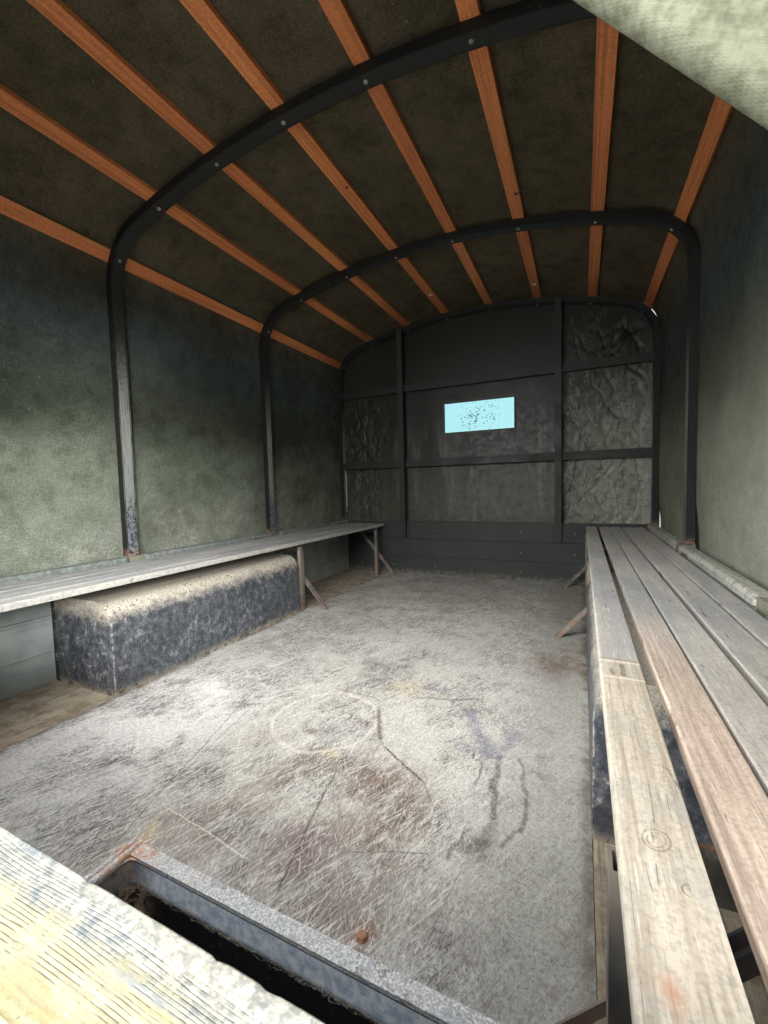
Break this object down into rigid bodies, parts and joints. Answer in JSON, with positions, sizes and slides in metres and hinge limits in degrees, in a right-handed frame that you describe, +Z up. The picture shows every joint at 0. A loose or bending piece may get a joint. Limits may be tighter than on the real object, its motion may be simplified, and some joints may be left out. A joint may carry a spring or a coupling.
{
  "type": "military truck cargo body",
  "caption": "Canvas-covered cargo body of a light military truck, with hoops, battens, folding benches, wheel arches and a hinged tailgate.",
  "frame": {"origin": "middle of the underside, on the plane of the two long sills", "axes": "+X to the right-hand side, +Y forward to the cab, +Z up"},
  "size_m": [2.2056, 2.925, 2.1198],
  "materials": {
    "steel_under": "matt dark olive paint, dusty",
    "steel_olive": "matt olive paint, scuffed",
    "steel_hoop": "near-black paint, scuffed to grey",
    "steel_arch": "black paint, dust on top",
    "steel_well": "black paint, rusty rim",
    "steel_bare": "worn pin steel",
    "wood_board": "olive-painted planks",
    "wood_cap": "worn pale top edge",
    "wood_floor": "worn floor sheet, scratched",
    "wood_batten": "varnished orange-brown softwood",
    "wood_bench": "weathered grey-beige softwood",
    "wood_tailgate": "bare weathered softwood",
    "canvas": "coated olive canvas",
    "canvas_pale": "coarse canvas, sunlit",
    "window": "clear flexible vinyl"
  },
  "bodies": {
    "bed": {"sills": "steel_under", "cross_members": "steel_under", "edge_rails": "steel_olive", "rear_sill": "steel_under", "floor_centre": "wood_floor", "floor_side_strips": "wood_floor", "step_well": "steel_well", "wheel_arch_left": "steel_arch", "wheel_arch_right": "steel_arch", "side_boards_left": "wood_board", "side_boards_right": "wood_board", "side_caps_left": "wood_cap", "side_caps_right": "wood_cap", "side_board_straps": "steel_olive", "hoop_sockets": "steel_olive", "rear_corner_posts": "steel_olive", "headboard": "wood_board", "headboard_stakes": "steel_olive", "tailgate_hinge_pins": "steel_bare", "tailgate_latches": "steel_olive", "hoop_1": "steel_hoop", "hoop_2": "steel_hoop", "hoop_3": "steel_hoop", "hoop_4": "steel_hoop", "roof_battens": "wood_batten", "front_posts": "steel_hoop", "front_rails": "steel_hoop", "canopy": "canvas", "front_curtain": "canvas", "front_window": "window", "rear_curtain_left": "canvas_pale", "rear_curtain_right": "canvas_pale", "bench_hinges_left": "steel_olive", "bench_hinges_right": "steel_olive"},
    "tailgate": {"tailgate_boards": "wood_board", "tailgate_cap": "wood_tailgate", "tailgate_straps": "steel_olive"},
    "bench_left": {"bench_slats_left": "wood_bench", "bench_bearers_left": "steel_olive"},
    "legs_left": {"bench_legs_left": "steel_olive"},
    "struts_left": {"bench_struts_left": "steel_olive"},
    "bench_right": {"bench_slats_right": "wood_bench", "bench_bearers_right": "steel_olive"},
    "legs_right": {"bench_legs_right": "steel_olive"},
    "struts_right": {"bench_struts_right": "steel_olive"}
  },
  "joints": [
    {"name": "tailgate_hinge", "type": "hinge", "parent": "bed", "child": "tailgate", "pos_m": [0, -1.4495, 0.173], "axis": [1, 0, 0], "range_deg": [0, 90]},
    {"name": "bench_left_fold", "type": "hinge", "parent": "bed", "child": "bench_left", "pos_m": [-1.011, 0, 0.618], "axis": [0, -1, 0], "range_deg": [0, 85]},
    {"name": "legs_left_hang", "type": "hinge", "parent": "bench_left", "child": "legs_left", "pos_m": [-0.702, 0, 0.576], "axis": [0, -1, 0], "range_deg": [-86, 0]},
    {"name": "struts_left_hang", "type": "hinge", "parent": "bench_left", "child": "struts_left", "pos_m": [-0.862, 0, 0.576], "axis": [0, -1, 0], "range_deg": [-127, 0]},
    {"name": "bench_right_fold", "type": "hinge", "parent": "bed", "child": "bench_right", "pos_m": [1.011, 0, 0.618], "axis": [0, 1, 0], "range_deg": [0, 85]},
    {"name": "legs_right_hang", "type": "hinge", "parent": "bench_right", "child": "legs_right", "pos_m": [0.702, 0, 0.576], "axis": [0, 1, 0], "range_deg": [-86, 0]},
    {"name": "struts_right_hang", "type": "hinge", "parent": "bench_right", "child": "struts_right", "pos_m": [0.862, 0, 0.576], "axis": [0, 1, 0], "range_deg": [-127, 0]}
  ],
  "couplings": [
    {"joint": "legs_left_hang", "follows": "bench_left_fold", "ratio": -1},
    {"joint": "struts_left_hang", "follows": "bench_left_fold", "ratio": -1.478},
    {"joint": "legs_right_hang", "follows": "bench_right_fold", "ratio": -1},
    {"joint": "struts_right_hang", "follows": "bench_right_fold", "ratio": -1.478}
  ]
}
